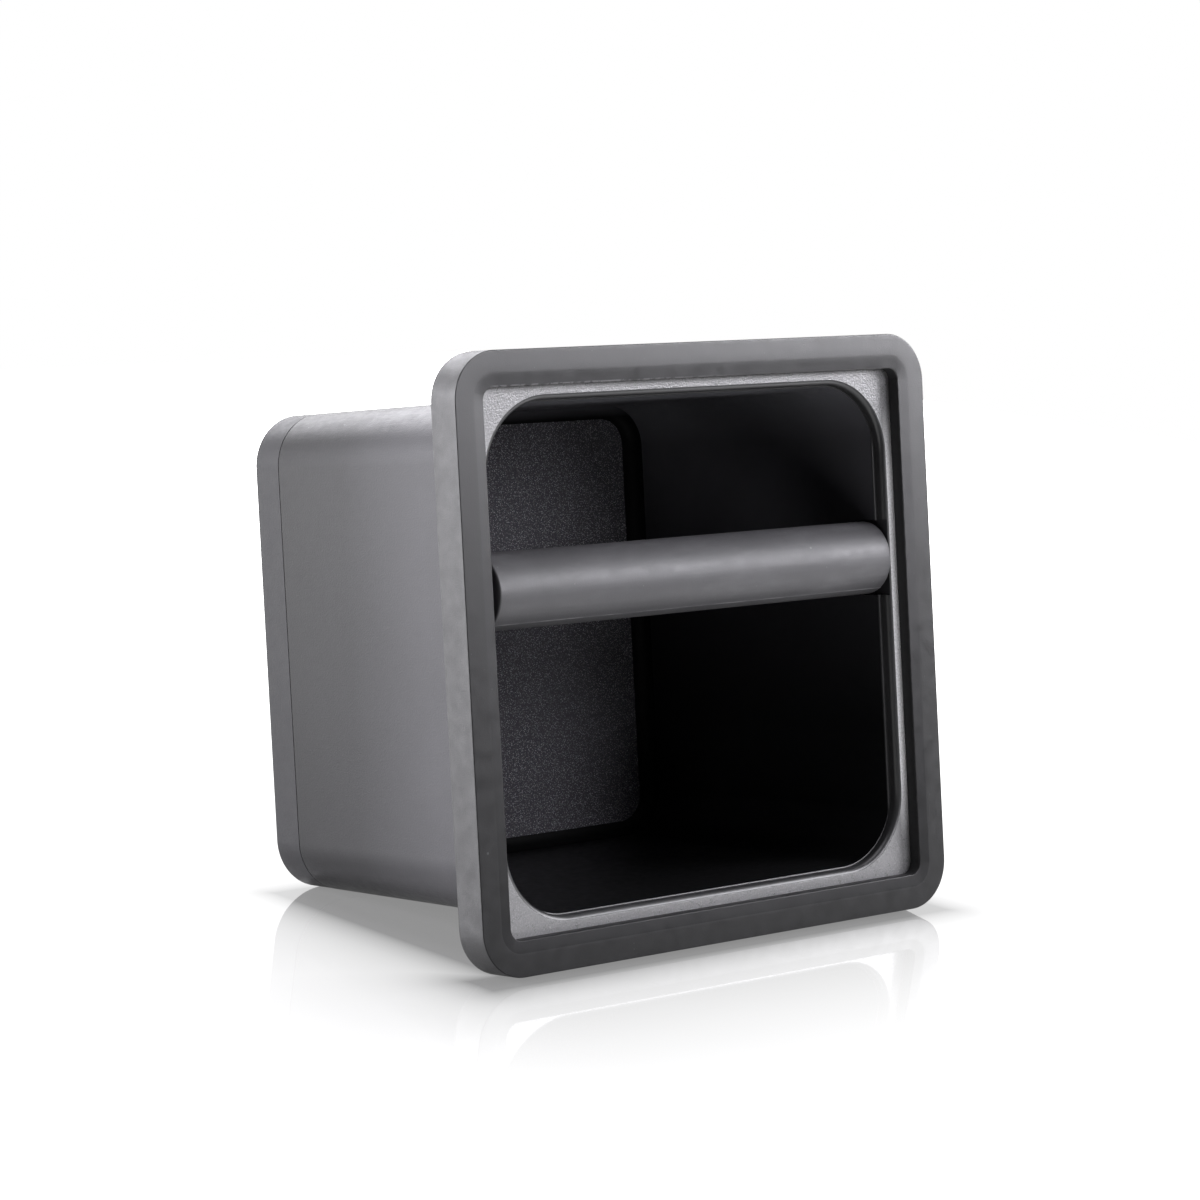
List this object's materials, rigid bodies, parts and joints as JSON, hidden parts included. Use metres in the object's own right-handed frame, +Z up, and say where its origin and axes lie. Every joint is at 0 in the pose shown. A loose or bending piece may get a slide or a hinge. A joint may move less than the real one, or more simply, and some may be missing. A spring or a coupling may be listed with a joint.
{
  "type": "espresso knock box",
  "caption": "Square tapered counter-top knock box with a soft rim collar, a soft base boot and a padded lift-out knock bar set off-centre across the mouth.",
  "frame": {"origin": "centre of the underside, where the box stands", "axes": "+Z up and out of the mouth, +X along the knock bar, +Y towards the wider side of the mouth"},
  "size_m": [0.177, 0.173, 0.12],
  "materials": {
    "tub_plastic": "satin moulded black ABS, finely textured floor and flange",
    "collar_rubber": "matte dark grey moulded rubber",
    "boot_rubber": "matte dark grey moulded rubber",
    "core_steel": "turned steel rod",
    "sleeve_rubber": "matte dark grey extruded rubber with a faint seam"
  },
  "bodies": {
    "box": {"tub": "tub_plastic", "rim_collar": "collar_rubber", "base_boot": "boot_rubber"},
    "knock_bar": {"bar_core": "core_steel", "bar_sleeve": "sleeve_rubber"}
  },
  "joints": [
    {"name": "bar_lift", "type": "slide", "parent": "box", "child": "knock_bar", "axis": [0, 0, 1], "range_m": [0, 0.05]}
  ]
}
